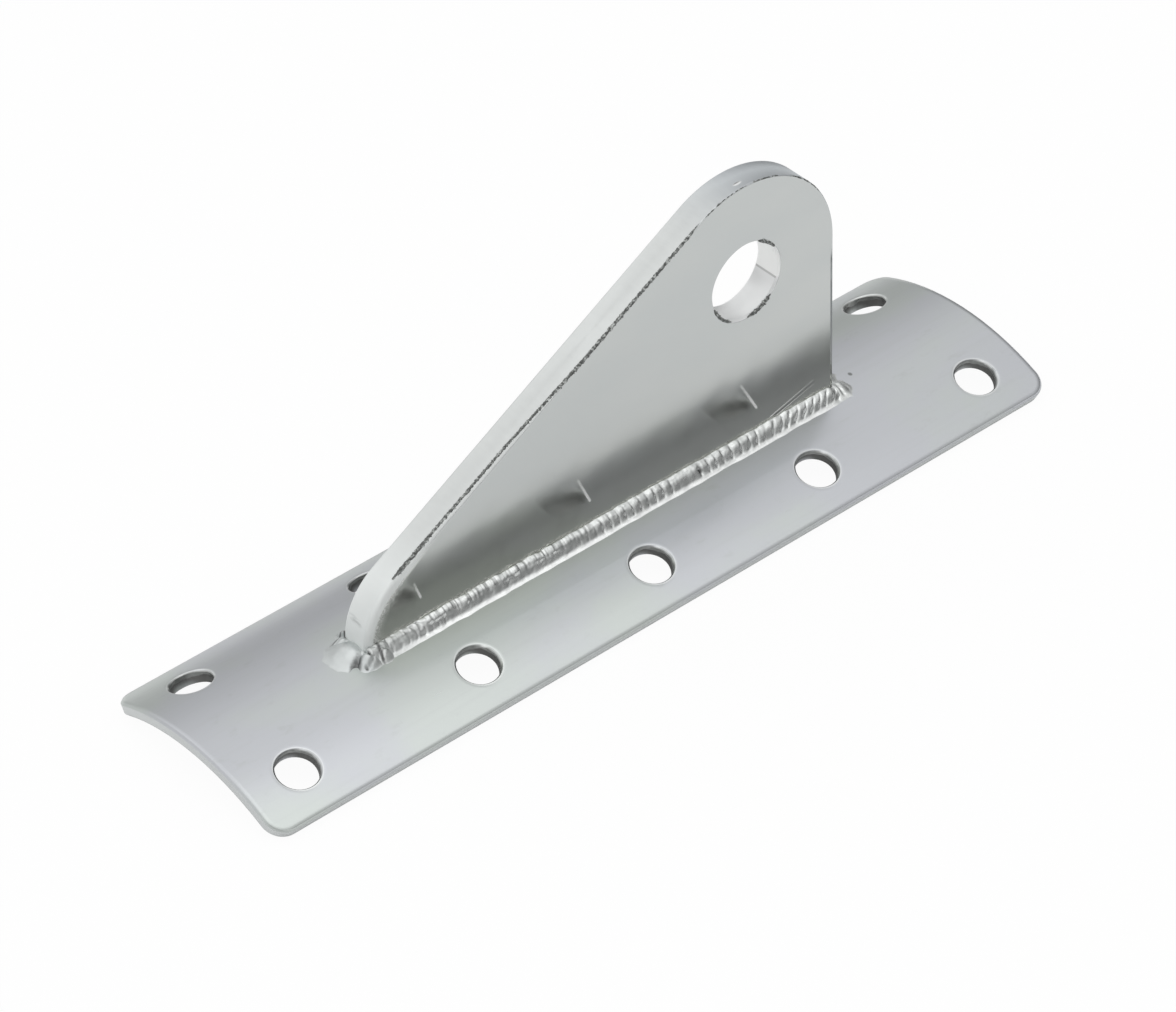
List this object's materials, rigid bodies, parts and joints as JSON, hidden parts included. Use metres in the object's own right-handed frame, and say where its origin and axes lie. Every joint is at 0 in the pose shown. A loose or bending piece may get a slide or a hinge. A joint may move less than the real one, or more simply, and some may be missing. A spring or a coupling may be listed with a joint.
{
  "type": "mast vang collar",
  "caption": "Curved mast plate with rows of fastener holes and an upright welded tang that takes the clevis pin of a boom vang.",
  "frame": {"origin": "on the table under the middle of the plate, which rests hollow side down on its two long edges", "axes": "+X along the plate towards the heel of the tang, where the pin hole is; +Z out of the mast, along the tang's height; +Y across the plate"},
  "size_m": [0.15, 0.0386, 0.0538],
  "materials": {
    "plate_steel": "satin, faintly brushed along its length",
    "tang_steel": "satin, with bright ground edges",
    "weld_metal": "bright rippled weld"
  },
  "bodies": {
    "root": {"base_plate": "plate_steel", "tang": "tang_steel", "fillet_weld": "weld_metal"}
  },
  "joints": []
}
